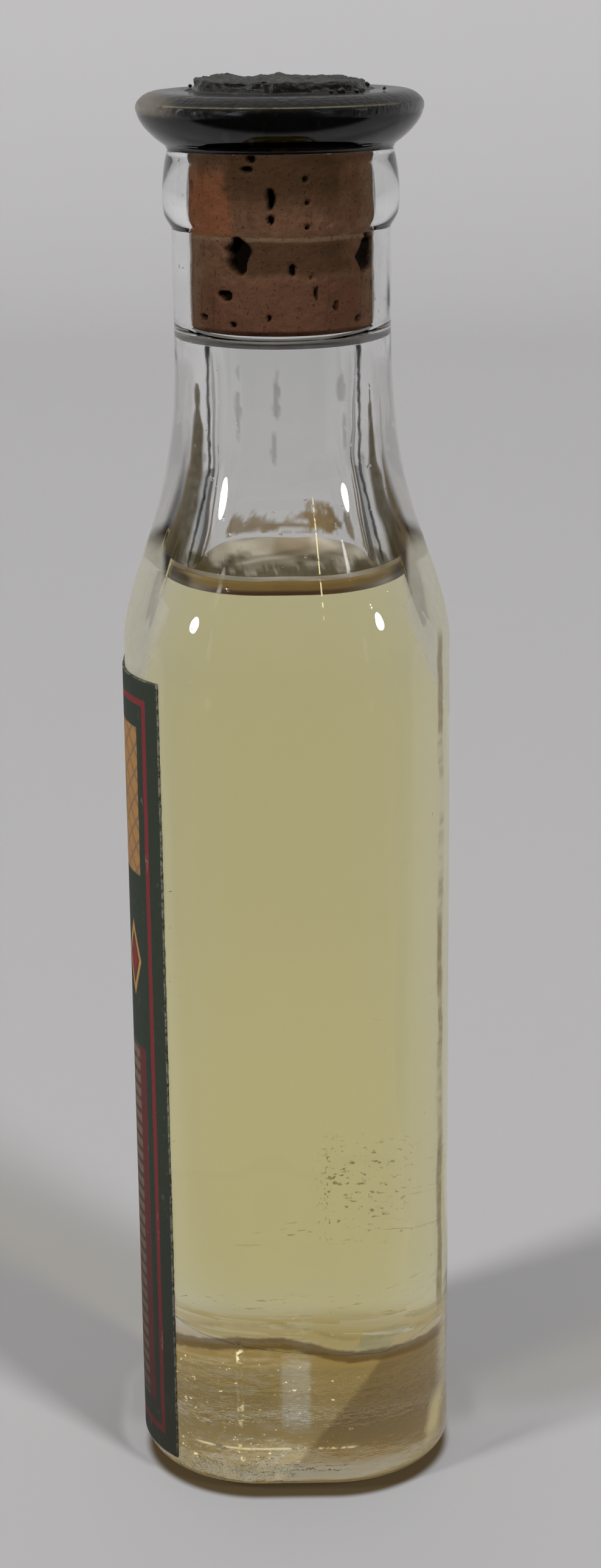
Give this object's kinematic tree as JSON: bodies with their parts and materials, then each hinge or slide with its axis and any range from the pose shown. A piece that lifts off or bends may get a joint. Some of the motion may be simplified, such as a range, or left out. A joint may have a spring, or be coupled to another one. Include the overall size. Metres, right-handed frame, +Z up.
{
  "type": "glass bottle",
  "caption": "Small square glass bottle with a flared lip, filled with pale yellow liquid and closed by a cork under a black wax plug, with a paper label on one side.",
  "frame": {"origin": "centre of the bottle's foot on the table", "axes": "+Z up along the bottle, -Y towards the picture's camera, -X towards the label"},
  "size_m": [0.0192, 0.019, 0.0845],
  "materials": {
    "glass": "clear, smooth, thick, with small flaws",
    "liquid": "clear pale yellow liquid",
    "label": "printed paper, worn",
    "cork": "natural cork with dark pores",
    "wax": "black sealing wax, dusty on top"
  },
  "bodies": {
    "root": {"glass_bottle": "glass", "liquid": "liquid", "label": "label"},
    "stopper": {"cork": "cork", "wax_seal": "wax"}
  },
  "joints": [
    {"name": "stopper_pull", "type": "slide", "parent": "root", "child": "stopper", "axis": [0, 0, 1], "range_m": [0, 0.02]}
  ]
}
